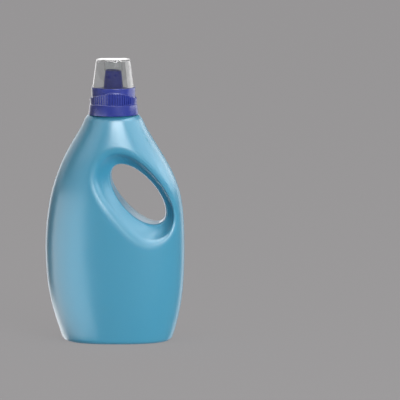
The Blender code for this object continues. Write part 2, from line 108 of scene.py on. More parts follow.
def linear(code: str) -> tuple[float, ...]:
    """Turns an sRGB hex colour to linear light.

    Args:
        code: Six hex digits, with or without a leading hash.

    Returns:
        Red, green, blue and an alpha of one.
    """
    digits = code.lstrip("#")
    shares = [int(digits[i : i + 2], 16) / 255.0 for i in (0, 2, 4)]
    red, green, blue = (s / 12.92 if s <= 0.04045 else ((s + 0.055) / 1.055) ** 2.4 for s in shares)
    return (red, green, blue, 1.0)


def cleared_tree(owner: bpy.types.World | Material) -> Tree:
    """Turns on the nodes of a world or a material and empties them."""
    owner.use_nodes = True
    owner.node_tree.nodes.clear()
    return owner.node_tree


def add_node(
    tree: Tree,
    kind: str,
    values: dict[str | int, object] | None = None,
    links: dict[str | int, Socket] | None = None,
    **settings: object,
) -> Node:
    """Adds one node to a tree.

    Args:
        tree: The node tree.
        kind: The node's type name.
        values: Input sockets and what they are set to.
        links: Input sockets and the output sockets that feed them.
        **settings: The node's own properties.

    Returns:
        The new node.
    """
    node = tree.nodes.new(kind)
    for name, setting in settings.items():
        setattr(node, name, setting)
    for name, value in (values or {}).items():
        node.inputs[name].default_value = value
    for name, socket in (links or {}).items():
        tree.links.new(socket, node.inputs[name])
    return node


def stand(name: str, data: bpy.types.ID, place: Vector, facing: Vector) -> Item:
    """Makes an object that stands at a place and faces a direction."""
    item = bpy.data.objects.new(name, data)
    item.location = place
    item.rotation_euler = facing.to_track_quat("-Z", "Y").to_euler()
    bpy.context.scene.collection.objects.link(item)
    return item


# Finishes


@dataclass(frozen=True)
class Finish:
    """What every finish has: a name for the material, a colour, a refractive index and a roughness."""

    name: str
    colour: str
    ior: float
    roughness: float

    def material(self) -> Material:
        """Makes the material and lets the finish add its own detail."""
        material = bpy.data.materials.new(self.name)
        material.use_nodes = True
        tree = material.node_tree
        shader = tree.nodes["Principled BSDF"]
        shader.inputs["Base Color"].default_value = linear(self.colour)
        shader.inputs["IOR"].default_value = self.ior
        shader.inputs["Roughness"].default_value = self.roughness
        self.detail(tree, shader)
        return material

    def detail(self, tree: Tree, shader: Node) -> None:
        """Adds nothing: a finish with its own detail overrides this."""

    def drift(self, tree: Tree, shader: Node, noise: Socket, swing: float) -> None:
        """Lets the roughness drift with a noise, by a swing to both sides."""
        rough = self.ramp(tree, noise, self.roughness - swing, self.roughness + swing)
        tree.links.new(rough, shader.inputs["Roughness"])

    @staticmethod
    def noise(
        tree: Tree, size: float, stretch: Triple = (1.0, 1.0, 1.0), detail: float = 2.0
    ) -> Socket:
        """Adds a noise, around one half, with waves of a real size, stretched along X, Y and Z."""
        place = add_node(tree, "ShaderNodeTexCoord")
        scale = tuple(1.0 / (size * share) for share in stretch)
        scaled = add_node(tree, "ShaderNodeMapping", {"Scale": scale}, {"Vector": place.outputs["Object"]})
        look = {"Scale": 1.0, "Detail": detail}
        noise = add_node(tree, "ShaderNodeTexNoise", look, {"Vector": scaled.outputs["Vector"]})
        return noise.outputs["Fac"]

    @staticmethod
    def ramp(tree: Tree, socket: Socket, low: float, high: float) -> Socket:
        """Spreads a noise's middle range from a low value to a high one."""
        ends = {"From Min": 0.3, "From Max": 0.7, "To Min": low, "To Max": high}
        return add_node(tree, "ShaderNodeMapRange", ends, {"Value": socket}).outputs["Result"]

    @staticmethod
    def bump(tree: Tree, strength: float, depth: float, **links: Socket) -> Socket:
        """Adds a bump with a real depth, fed by a Height and, on top of another bump, by its Normal."""
        node = add_node(tree, "ShaderNodeBump", {"Strength": strength, "Distance": depth}, links)
        return node.outputs["Normal"]


@dataclass(frozen=True)
class BlowMouldedPolyethylene(Finish):
    """Coloured HDPE, extrusion blow moulded: a soft, slightly waxy gloss over a fine blasted texture."""

    thin_colour: str = "#4C99B7"
    wall_drift: float = 55.0 * MM
    gloss_drift: float = 24.0 * MM
    grain: float = 0.9 * MM
    wave: float = 16.0 * MM

    def detail(self, tree: Tree, shader: Node) -> None:
        """Adds the drift of wall thickness, the cooling waves and the mould's blasted grain."""
        thinness = self.ramp(tree, self.noise(tree, self.wall_drift, (1.0, 1.0, 2.4)), 0.0, 0.35)
        ends = {6: linear(self.colour), 7: linear(self.thin_colour)}
        tint = add_node(tree, "ShaderNodeMix", ends, {0: thinness}, data_type="RGBA")
        tree.links.new(tint.outputs[2], shader.inputs["Base Color"])
        self.drift(tree, shader, self.noise(tree, self.gloss_drift, (1.0, 1.0, 2.0)), 0.02)
        waves = self.bump(tree, 0.25, 0.25 * MM, Height=self.noise(tree, self.wave, (1.0, 1.0, 1.8), 1.0))
        # The real grain is near 0.2 mm. It is drawn coarser, so that it shows at all.
        grain = self.noise(tree, self.grain, detail=1.0)
        bent = self.bump(tree, 0.12, 0.05 * MM, Height=grain, Normal=waves)
        tree.links.new(bent, shader.inputs["Normal"])
        shader.inputs["Subsurface Weight"].default_value = 0.12
        shader.inputs["Subsurface Radius"].default_value = (0.4, 1.0, 1.4)
        shader.inputs["Subsurface Scale"].default_value = 1.2 * MM


@dataclass(frozen=True)
class MouldedPolypropylene(Finish):
    """Coloured PP, injection moulded and polished: an even, fairly sharp gloss with faint flow lines."""

    flow: float = 3.5 * MM
    gloss_drift: float = 9.0 * MM

    def detail(self, tree: Tree, shader: Node) -> None:
        """Adds the faint flow lines and a little drift in the gloss."""
        self.drift(tree, shader, self.noise(tree, self.gloss_drift), 0.03)
        flow = self.noise(tree, self.flow, (1.0, 1.0, 3.0), 1.0)
        tree.links.new(self.bump(tree, 0.15, 0.04 * MM, Height=flow), shader.inputs["Normal"])


@dataclass(frozen=True)
class ClarifiedPolypropylene(Finish):
    """Clear clarified PP: glass-clear walls with a hard gloss and a faint ripple from the mould."""

    ripple: float = 11.0 * MM

    def detail(self, tree: Tree, shader: Node) -> None:
        """Lets light through and adds the ripple."""
        shader.inputs["Transmission Weight"].default_value = 1.0
        ripple = self.noise(tree, self.ripple, (1.0, 1.0, 2.5), 1.0)
        tree.links.new(self.bump(tree, 0.2, 0.03 * MM, Height=ripple), shader.inputs["Normal"])


BLUE_HDPE = BlowMouldedPolyethylene("blow_moulded_hdpe", "#4393B2", 1.54, 0.30)
VIOLET_PP = MouldedPolypropylene("injection_moulded_pp", "#28368E", 1.49, 0.26)
# Painted shade: the spout is the collar's plastic, but its violet is set deeper than the collar's, because
# the clear cap over it shades it and the cap's reflections wash the spout out.
SHADED_SPOUT_VIOLET = MouldedPolypropylene("injection_moulded_pp_shaded_spout", "#1B2A8C", 1.49, 0.30)
CLEAR_PP = ClarifiedPolypropylene("clarified_pp", "#F6F8F8", 1.49, 0.03)


# Geometry helpers


class Spline:
    """A smooth curve through a few values, with continuous curvature and relaxed ends."""

    def __init__(self, places: Iterable[float], values: Iterable[float]) -> None:
        """Fits the curve.

        Args:
            places: Where the values lie, rising.
            values: The values to pass through.
        """
        self.places = np.array(list(places), float)
        self.values = np.array(list(values), float)
        steps = np.diff(self.places)
        slopes = np.diff(self.values) / steps
        count = len(self.places)
        matrix = np.zeros((count, count))
        right = np.zeros(count)
        matrix[0, 0] = matrix[-1, -1] = 1.0
        for i in range(1, count - 1):
            matrix[i, i - 1 : i + 2] = steps[i - 1], 2.0 * (steps[i - 1] + steps[i]), steps[i]
            right[i] = 6.0 * (slopes[i] - slopes[i - 1])
        self.bends = np.linalg.solve(matrix, right)

    def __call__(self, place: float) -> float:
        """Reads the curve at a place."""
        i = int(np.clip(np.searchsorted(self.places, place) - 1, 0, len(self.places) - 2))
        step = self.places[i + 1] - self.places[i]
        ahead = (self.places[i + 1] - place) / step
        past = (place - self.places[i]) / step
        bend = (ahead**3 - ahead) * self.bends[i] + (past**3 - past) * self.bends[i + 1]
        return float(ahead * self.values[i] + past * self.values[i + 1] + bend * step**2 / 6.0)


@dataclass(frozen=True)
class Oval:
    """A rounded oval in a level plane."""

    centre: float
    half_width: float
    half_depth: float
    power: float = 2.0

    def point(self, angle: float, height: float, inset: float = 0.0) -> Vector:
        """A point on the oval, drawn in by an inset. The angle runs from the handle over the front."""
        across = cos(angle)
        forward = sin(angle)
        x = self.centre + copysign(abs(across) ** (2.0 / self.power), across) * (self.half_width - inset)
        y = -copysign(abs(forward) ** (2.0 / self.power), forward) * (self.half_depth - inset)
        return Vector((x, y, height))

    def angle_at(self, x: float) -> float:
        """The angle at which the front of the oval passes a sideways place."""
        share = max(-1.0, min(1.0, (x - self.centre) / self.half_width))
        return acos(copysign(abs(share) ** (self.power / 2.0), share))


def span(low: float, high: float, steps: int) -> list[float]:
    """Evenly spaced values after low, up to and with high."""
    return [low + (high - low) * step / steps for step in range(1, steps + 1)]


def circle(count: int) -> list[float]:
    """The angles of evenly spread columns, over a full turn."""
    return [tau * column / count for column in range(count)]


def bend(first: Vector, corner: Vector, last: Vector, steps: int) -> list[Vector]:
    """Points of a rounding from first to last with the corner between them."""
    return [
        first * (1.0 - share) ** 2 + corner * (2.0 * share * (1.0 - share)) + last * share**2
        for share in [0.0] + span(0.0, 1.0, steps)
    ]


def rounded(outline: list[tuple], steps: int) -> Outline:
    """Rounds a closed outline at each corner that has a radius.

    Args:
        outline: Corners as (radius from the axis, height) or with a rounding as a third number.
        steps: The number of facets of each rounding.

    Returns:
        The outline's points.
    """
    points: list[Pair] = []
    for i, corner in enumerate(outline):
        if len(corner) == 2:
            points.append(corner)
            continue
        middle = Vector(corner[:2])
        start, end = (
            middle + (Vector(beside[:2]) - middle).normalized() * corner[2]
            for beside in (outline[i - 1], outline[(i + 1) % len(outline)])
        )
        points += [(point.x, point.y) for point in bend(start, middle, end, steps)]
    return points


def finish_mesh(name: str, builder: Builder, sharp: float = SHARP) -> Item:
    """Turns a bmesh into a smooth object. Edges that bend more than sharp, in degrees, stay sharp."""
    bmesh.ops.recalc_face_normals(builder, faces=builder.faces)
    mesh = bpy.data.meshes.new(name)
    builder.to_mesh(mesh)
    builder.free()
    mesh.shade_smooth()
    mesh.set_sharp_from_angle(angle=radians(sharp))
    item = bpy.data.objects.new(name, mesh)
    bpy.context.scene.collection.objects.link(item)
    return item


def turned(angles: list[float], profile: Callable[[float], Outline]) -> Builder:
    """Turns a closed profile about the neck's axis.

    Args:
        angles: The columns' angles from +X towards +Y, rising.
        profile: Gives the closed outline at an angle. All columns share a point at radius zero.

    Returns:
        A bmesh with the turned surface.
    """
    builder = bmesh.new()
    outline = profile(angles[0])
    poles = {row: builder.verts.new((NECK_X, 0.0, z)) for row, (r, z) in enumerate(outline) if r == 0.0}
    grid = []
    for angle in angles:
        line = []
        for row, (radius, height) in enumerate(profile(angle)):
            place = (NECK_X + radius * cos(angle), radius * sin(angle), height)
            line.append(poles[row] if row in poles else builder.verts.new(place))
        grid.append(line)
    for column, here in enumerate(grid):
        beside = grid[(column + 1) % len(grid)]
        for row in range(len(outline)):
            below = (row + 1) % len(outline)
            corners = [here[row], beside[row], beside[below], here[below]]
            corners = [corner for i, corner in enumerate(corners) if corner not in corners[:i]]
            if len(corners) > 2:
                builder.faces.new(corners)
    return builder


def join_rows(builder: Builder, here: list[bmesh.types.BMVert], beside: list[bmesh.types.BMVert]) -> None:
    """Adds the quads between two closed rows of vertices."""
    for i in range(len(here)):
        after = (i + 1) % len(here)
        builder.faces.new((here[i], here[after], beside[after], beside[i]))


def ridge(half_width: float, crest: float, root: float, rise: float) -> Outline:
    """A bead's section: its root lies in the wall, and its crest is a share as wide."""
    top = half_width * crest
    return [(-half_width, -root), (half_width, -root), (top, rise), (-top, rise)]


def sweep_bead(
    builder: Builder, path: list[Vector], outward: list[Vector], section: Outline, closed: bool
) -> None:
    """Sweeps a small closed section along a path and adds it to a bmesh.

    Args:
        builder: The bmesh.
        path: The points that the section follows.
        outward: The direction at each point in which the bead rises.
        section: Corners as (sideways, outward) lengths.
        closed: Whether the path is a loop.
    """
    rings = []
    count = len(path)
    for i, place in enumerate(path):
        before = path[i - 1] if i or closed else place
        after = path[(i + 1) % count] if i < count - 1 or closed else place
        along = (after - before).normalized()
        rise = (outward[i] - along * along.dot(outward[i])).normalized()
        aside = along.cross(rise)
        rings.append([builder.verts.new(place + aside * a + rise * r) for a, r in section])
    for here, beside in zip(rings, rings[1:] + (rings[:1] if closed else [])):
        join_rows(builder, here, beside)
    if not closed:
        builder.faces.new(rings[0])
        builder.faces.new(rings[-1][::-1])


@dataclass(frozen=True)
class ScrewThread:
    """A right-hand thread on a wall round the neck's axis. Its crest is half as wide as its root."""

    start: float
    turns: float
    half_width: float
    root: float
    rise: float
    inward: bool = False

    def wind(self, builder: Builder, wall_radius: float) -> None:
        """Adds the thread to a bmesh, on a wall with a radius."""
        path = []
        rising = []
        for share in [0.0] + span(0.0, 1.0, THREAD_STEPS):
            angle = THREAD_START + tau * self.turns * share
            away = Vector((cos(angle), sin(angle), 0.0))
            height = self.start + THREAD_LEAD * self.turns * share
            path.append(Vector((NECK_X, 0.0, height)) + away * wall_radius)
            rising.append(-away if self.inward else away)
        sweep_bead(builder, path, rising, ridge(self.half_width, 0.5, self.root, self.rise), closed=False)


def dressed(
    name: str, builder: Builder, sharp: float, finish: Material, body: Body, slot: Slot, *nodes: str
) -> Item:
    """Turns a bmesh into a piece with its finish, on its body, in the place of its CAD nodes.

    Args:
        name: The piece's name.
        builder: The bmesh, which is freed.
        sharp: Edges that bend more than this many degrees stay sharp.
        finish: Its material.
        body: The body that it rides on.
        slot: The record's slot for the piece; not used.
        *nodes: The CAD nodes that it stands for.

    Returns:
        The piece.
    """
    piece = finish_mesh(name, builder, sharp)
    piece.data.materials.append(finish)
    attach(piece, body.value)
    if nodes:
        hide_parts(*nodes)
    return piece


# Sub-assemblies


@dataclass
class BottleShell:
    """The blow-moulded shell: body, shoulder, through handle, neck and base in one moulding."""

    half_width: float = 71.48 * MM
    half_depth: float = 45.5 * MM
    wall: float = 1.3 * MM
    # Shares of the height, half width, shift, half depth, and the oval's power.
    shares: tuple[tuple[float, ...], ...] = (
        (0.000, 0.780, 0.040, 0.900, 2.40),
        (0.086, 0.868, 0.033, 0.950, 2.38),
        (0.193, 0.949, 0.018, 0.984, 2.36),
        (0.300, 0.988, 0.008, 0.998, 2.34),
        (0.430, 1.000, 0.003, 1.000, 2.32),
        (0.557, 0.977, 0.011, 0.980, 2.30),
        (0.664, 0.917, 0.014, 0.932, 2.27),
        (0.749, 0.820, 0.006, 0.862, 2.23),
        (0.835, 0.681, -0.011, 0.770, 2.16),
        (0.908, 0.539, -0.015, 0.668, 2.08),
        (0.959, 0.446, -0.015, 0.586, 2.03),
        (1.000, 0.389, -0.015, 0.505, 2.00),
    )
    heel_radius: float = 4.5 * MM
    foot_width: float = 4.0 * MM
    push_up: float = 3.5 * MM
    push_up_run: float = 6.0 * MM
    # Shares of the run and of the rise.
    push_up_curve: Outline = ((1.0, 1.0), (0.85, 0.92), (0.5, 0.5), (0.15, 0.08), (0.0, 0.0))
    shoulder_rounding: float = 4.5 * MM
    shoulder_insets: Pair = (2.0 * MM, 3.0 * MM)
    shoulder_power: float = 0.7
    rim_rounding: float = 0.5 * MM
    neck_fillet: float = 1.2 * MM
    ledge_rise: float = 0.4 * MM
    hole_centre: Pair = (24.5 * MM, 152.6 * MM)
    hole_half_length: float = 37.0 * MM
    hole_half_breadth: float = 17.4 * MM
    hole_tilt: float = radians(-48.5)
    tunnel_draft: float = 0.8 * MM
    lip_rounding: float = 1.6 * MM
    funnel_start_depth: float = 12.0 * MM
    funnel_start: float = 3.3 * MM
    end_slope: float = 0.61
    side_slope: float = 0.38
    fall_mean: float = 1.4
    fall_swing: float = 0.5
    # Lengths before the lip and hollows, in millimetres.
    crease: Outline = ((1.9, 0.0), (1.3, 0.35), (0.9, 0.35), (0.4, -0.15))
    edge_rounding: float = 7.0 * MM
    funnel_hollow: float = 0.8 * MM
    halvings: int = 30
    patch_bottom: float = 94.0 * MM
    patch_top: float = 208.0 * MM
    columns: int = 156
    patch_columns: tuple[int, int] = (6, 54)
    rows: tuple[int, int, int] = (20, 33, 10)
    heel_rings: int = 6
    shoulder_rings: int = 8
    patch_rings: int = 4
    rounding_rings: int = 8
    slope_rings: int = 6
    lip_steps: int = 5
    tunnel_rings: int = 4
    seam_width: float = 0.5 * MM
    seam_height: float = 0.12 * MM
    seam_steps: int = 90
    hole_seam_steps: int = 120
    thread: ScrewThread = ScrewThread(
        start=241.5 * MM, turns=2.6, half_width=0.7 * MM, root=0.3 * MM, rise=1.1 * MM
    )
    sharp: float = 22.0

    def __post_init__(self) -> None:
        """Fits a curve through each column of the shares, over the share of the height."""
        columns = list(zip(*self.shares))
        self.curves = [Spline(columns[0], values) for values in columns[1:]]
        self.turn = (cos(self.hole_tilt), sin(self.hole_tilt))

    def section(self, height: float) -> Oval:
        """The body's oval at a height, drawn in by the seam, so that the seam reaches the full size."""
        half_width, shift, half_depth, power = (curve(height / SHOULDER_TOP) for curve in self.curves)
        return Oval(
            shift * self.half_width,
            half_width * self.half_width - self.seam_height,
            half_depth * self.half_depth - self.seam_height,
            power,
        )

    def point(self, angle: float, height: float) -> Vector:
        """A point on the body's outer surface."""
        return self.section(height).point(angle, height)

    def depth(self, x: float, height: float) -> float:
        """How far the front of the body stands from the middle plane."""
        oval = self.section(height)
        return -oval.point(oval.angle_at(x), height).y

    def hole_point(self, angle: float, outward: float) -> Pair:
        """A point (x, z) beside the hand hole's oval, moved out from it along its normal."""
        across, up = cos(angle), sin(angle)
        normal = Vector((across * self.hole_half_breadth, up * self.hole_half_length)).normalized()
        along = across * self.hole_half_length + normal.x * outward
        beside = up * self.hole_half_breadth + normal.y * outward
        (x, z), (turn_x, turn_z) = self.hole_centre, self.turn
        return (x + along * turn_x - beside * turn_z, z + along * turn_z + beside * turn_x)

    def hole_angle(self, x: float, z: float) -> float:
        """The angle round the hole that faces a point of the patch's border."""
        turn_x, turn_z = self.turn
        from_x = x - self.hole_centre[0]
        from_z = z - self.hole_centre[1]
        along = from_x * turn_x + from_z * turn_z
        beside = from_z * turn_x - from_x * turn_z
        reach = self.funnel_start + self.funnel_start_depth
        return atan2(beside / (self.hole_half_breadth + reach), along / (self.hole_half_length + reach))

    def funnel_out(self, angle: float, depth: float) -> float:
        """How far the funnel's edge stands outside the hole's oval where the body has a depth."""
        slope = self.side_slope + (self.end_slope - self.side_slope) * cos(angle) ** 2
        return self.funnel_start + slope * (depth - self.funnel_start_depth)

    def edge_depth(self, angle: float) -> float:
        """The depth at which the funnel's outline meets the body's surface, found by halving."""
        low = self.funnel_start_depth
        high = self.half_depth
        for _ in range(self.halvings):
            middle = (low + high) / 2.0
            x, z = self.hole_point(angle, self.funnel_out(angle, middle))
            if self.depth(x, z) > middle:
                low = middle
            else:
                high = middle
        return low

    def funnel_column(self, border_angle: float, border_height: float) -> list[Vector]:
        """Points from the patch's border over the funnel's edge, to the lip and the middle plane.

        Args:
            border_angle: The border point's angle on the body.
            border_height: Its height.

        Returns:
            The points without the border point itself, on the front of the bottle.
        """
        start = self.point(border_angle, border_height)
        angle = self.hole_angle(start.x, start.z)
        edge_depth = self.edge_depth(angle)
        edge_out = self.funnel_out(angle, edge_depth)
        run = edge_out - self.tunnel_draft
        fall = run * (self.fall_mean + self.fall_swing * sin(angle))
        length = hypot(run, fall)
        rounding = self.edge_rounding * edge_depth / self.half_depth
        outer_x, outer_z = self.hole_point(angle, edge_out + rounding)
        outer_angle = self.section(outer_z).angle_at(outer_x)

        def beside_hole(outward: float, y: float) -> Vector:
            """A point beside the hand hole, at a distance from the middle plane."""
            x, z = self.hole_point(angle, outward)
            return Vector((x, y, z))

        def slope_point(share: float, hollow: float = 0.0) -> Vector:
            """A point on the slope, from the edge (share 0) to the lip (share 1)."""
            return beside_hole(edge_out - run * share + hollow, fall * share - edge_depth)

        points = []
        for share in span(0.0, 1.0, self.patch_rings + 1)[:-1]:
            height = border_height + (outer_z - border_height) * share
            points.append(self.point(border_angle + (outer_angle - border_angle) * share, height))
        inner_share = min(rounding / length, 0.5)
        lip_share = 1.0 - self.lip_rounding / length
        crease = [(before * MM / length, hollow * MM) for before, hollow in self.crease]
        crease_share = lip_share - crease[0][0]
        outer = self.point(outer_angle, outer_z)
        points += bend(outer, slope_point(0.0), slope_point(inner_share), self.rounding_rings)
        for share in span(0.0, 1.0, self.slope_rings)[:-1]:
            hollow = self.funnel_hollow * sin(pi * share)
            points.append(slope_point(inner_share + (crease_share - inner_share) * share, hollow))
        points += [slope_point(lip_share - before, hollow) for before, hollow in crease]
        tunnel_depth = edge_depth - fall
        tunnel_shares = [1.0 - self.lip_rounding / tunnel_depth] + span(1.0, 0.0, self.tunnel_rings)
        tunnel = [beside_hole(self.tunnel_draft * share, -tunnel_depth * share) for share in tunnel_shares]
        lip = slope_point(lip_share, crease[-1][1])
        points += bend(lip, slope_point(1.0), tunnel[0], self.lip_steps)
        return points + tunnel[1:]

    def rings(self, angles: list[float]) -> tuple[list[list[Vector]], list[float], int]:
        """The outer rings from the base's middle to the neck's rim, with a point at each angle.

        Returns:
            The rings, the heights of the body's rows, and the first row of the patch.
        """
        foot = self.section(0.0)
        quarter = pi / 2.0
        inset = self.heel_radius + self.foot_width
        base = [(foot.half_depth / 2.0, self.push_up)]
        base += [(inset + self.push_up_run * run, self.push_up * rise) for run, rise in self.push_up_curve]
        base += [(inset - self.foot_width / 2.0, 0.0), (self.heel_radius, 0.0)]
        rings = [[foot.point(angle, height, drawn_in) for angle in angles] for drawn_in, height in base]
        for turn in span(0.0, quarter, self.heel_rings):
            height = self.heel_radius * (1.0 - cos(turn))
            section = self.section(height)
            drawn_in = self.heel_radius * (1.0 - sin(turn))
            rings.append([section.point(angle, height, drawn_in) for angle in angles])
        below, beside, above = self.rows
        first_row = len(rings) + below - 1
        shoulder_edge = SHOULDER_TOP - self.shoulder_rounding
        heights = span(self.heel_radius, self.patch_bottom, below)
        heights += span(self.patch_bottom, self.patch_top, beside)
        heights += span(self.patch_top, shoulder_edge, above)
        rings += [[self.point(angle, height) for angle in angles] for height in heights]
        side_inset, front_inset = self.shoulder_insets
        for turn in span(0.0, quarter, self.shoulder_rings):
            height = shoulder_edge + self.shoulder_rounding * sin(turn)
            section = self.section(height)
            share = (1.0 - cos(turn)) ** self.shoulder_power
            narrow = replace(
                section,
                half_width=section.half_width - side_inset * share,
                half_depth=section.half_depth - front_inset * share,
            )
            rings.append([narrow.point(angle, height) for angle in angles])
        ledge = SHOULDER_TOP + self.ledge_rise
        neck = [
            (NECK_RADIUS + self.neck_fillet, ledge),
            (NECK_RADIUS + self.neck_fillet * 0.3, ledge + self.neck_fillet * 0.3),
            (NECK_RADIUS, ledge + self.neck_fillet),
            (NECK_RADIUS, NECK_TOP - self.rim_rounding),
            (NECK_RADIUS - self.rim_rounding * 0.3, NECK_TOP - self.rim_rounding * 0.3),
            (NECK_RADIUS - self.rim_rounding, NECK_TOP),
        ]
        rings += [[Oval(NECK_X, radius, radius).point(angle, z) for angle in angles] for radius, z in neck]
        return rings, heights, first_row

    def border(self, first_row: int, side: int) -> list[tuple[int, int]]:
        """Row and column of each vertex round a patch, in order, for the front (1) or the back (-1)."""
        last_row = first_row + self.rows[1]
        left, right = self.patch_columns
        border = [(first_row, column) for column in range(left, right)]
        border += [(row, right) for row in range(first_row, last_row)]
        border += [(last_row, column) for column in range(right, left, -1)]
        border += [(row, left) for row in range(last_row, first_row, -1)]
        return [(row, side * column % self.columns) for row, column in border]

    def in_patch(self, row: int, column: int, first_row: int, reach: int) -> bool:
        """Whether a vertex (reach 1) or a quad (reach 0) lies inside a patch."""
        left, right = self.patch_columns
        if not first_row + reach <= row < first_row + self.rows[1]:
            return False
        mirrored = (self.columns - column - 1 + reach) % self.columns
        return left + reach <= column < right or left + reach <= mirrored < right

    def shell(self, builder: Builder) -> None:
        """Adds the outer surface: the loft of ovals, and the funnels that join front and back."""
        angles = circle(self.columns)
        rings, heights, first_row = self.rings(angles)
        grid = {}
        for row, ring in enumerate(rings):
            for column, point in enumerate(ring):
                if not self.in_patch(row, column, first_row, 1):
                    grid[row, column] = builder.verts.new(point)
        for row in range(len(rings) - 1):
            for column in range(self.columns):
                if self.in_patch(row, column, first_row, 0):
                    continue
                beside = (column + 1) % self.columns
                builder.faces.new(
                    (grid[row, column], grid[row, beside], grid[row + 1, beside], grid[row + 1, column])
                )
        builder.faces.new([grid[0, column] for column in range(self.columns)])
        row_heights = dict(enumerate(heights, first_row - self.rows[0] + 1))
        places = self.border(first_row, 1)
        columns = [self.funnel_column(angles[column], row_heights[row]) for row, column in places]
        middle_line = [builder.verts.new(points[-1]) for points in columns]
        for side in (1, -1):
            outer = [grid[place] for place in self.border(first_row, side)]
            for ring in range(len(columns[0])):
                inner = middle_line
                if ring < len(columns[0]) - 1:
                    places = [points[ring] for points in columns]
                    inner = [builder.verts.new((place.x, side * place.y, place.z)) for place in places]
                join_rows(builder, outer, inner)
                outer = inner

    def parting_line(self, builder: Builder) -> None:
        """Adds the fine raised line that the two mould halves leave on the middle plane."""
        half = self.seam_width / 2.0
        section = ridge(half, 0.4, half, self.seam_height)
        for angle, away in ((0.0, Vector((1.0, 0.0, 0.0))), (pi, Vector((-1.0, 0.0, 0.0)))):
            heights = span(self.heel_radius, SHOULDER_TOP - self.shoulder_rounding, self.seam_steps)
            path = [self.point(angle, height) for height in heights]
            sweep_bead(builder, path, [away] * len(path), section, closed=False)
        path = []
        outward = []
        for angle in circle(self.hole_seam_steps):
            x, z = self.hole_point(angle, 0.0)
            inner_x, inner_z = self.hole_point(angle, -MM)
            path.append(Vector((x, 0.0, z)))
            outward.append(Vector((inner_x - x, 0.0, inner_z - z)))
        sweep_bead(builder, path, outward, section, closed=True)

    def build(self) -> Item:
        """Builds the bottle and returns the dressed piece."""
        finish = BLUE_HDPE.material()
        builder = bmesh.new()
        self.shell(builder)
        piece = dressed("bottle_shell", builder, self.sharp, finish, Body.BOTTLE, Slot.BOTTLE, "bottle")
        wall = piece.modifiers.new("wall", "SOLIDIFY")
        wall.thickness = self.wall
        wall.offset = -1.0
        wall.use_even_offset = True
        trim = bmesh.new()
        self.parting_line(trim)
        self.thread.wind(trim, NECK_RADIUS)
        dressed("bottle_parting_line_and_thread", trim, SHARP, finish, Body.BOTTLE, Slot.BOTTLE)
        return piece


